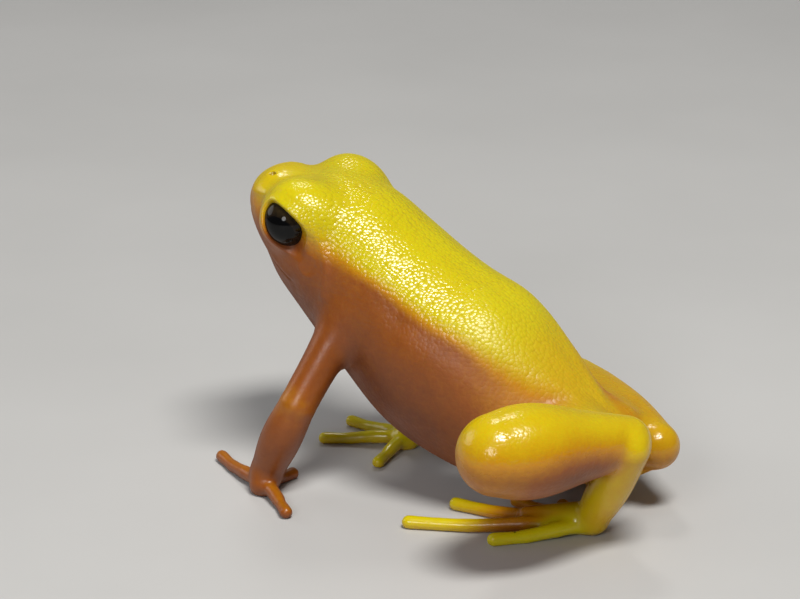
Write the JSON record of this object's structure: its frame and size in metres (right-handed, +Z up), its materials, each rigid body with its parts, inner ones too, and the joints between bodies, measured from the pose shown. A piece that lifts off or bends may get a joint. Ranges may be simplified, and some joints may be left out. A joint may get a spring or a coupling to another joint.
{
  "type": "golden mantella frog",
  "caption": "Life-size still model of a golden mantella frog, sitting up on straight arms with its hind legs folded and its head raised.",
  "frame": {"origin": "on the floor under the middle of the bounding box", "axes": "+Z up, -Y the way the frog faces, +X the frog's left"},
  "size_m": [0.0204, 0.0252, 0.0162],
  "materials": {
    "skin": "wet, finely granular, golden yellow above and orange on the flanks and under the limbs",
    "eye": "wet gloss black"
  },
  "bodies": {
    "root": {"eye_left": "eye", "eye_right": "eye", "foot_left": "skin", "foot_right": "skin", "forearm_left": "skin", "forearm_right": "skin", "hand_left": "skin", "hand_right": "skin", "head": "skin", "lower_jaw": "skin", "shank_left": "skin", "shank_right": "skin", "tarsus_left": "skin", "tarsus_right": "skin", "thigh_left": "skin", "thigh_right": "skin", "trunk": "skin", "upper_arm_left": "skin", "upper_arm_right": "skin"}
  },
  "joints": []
}
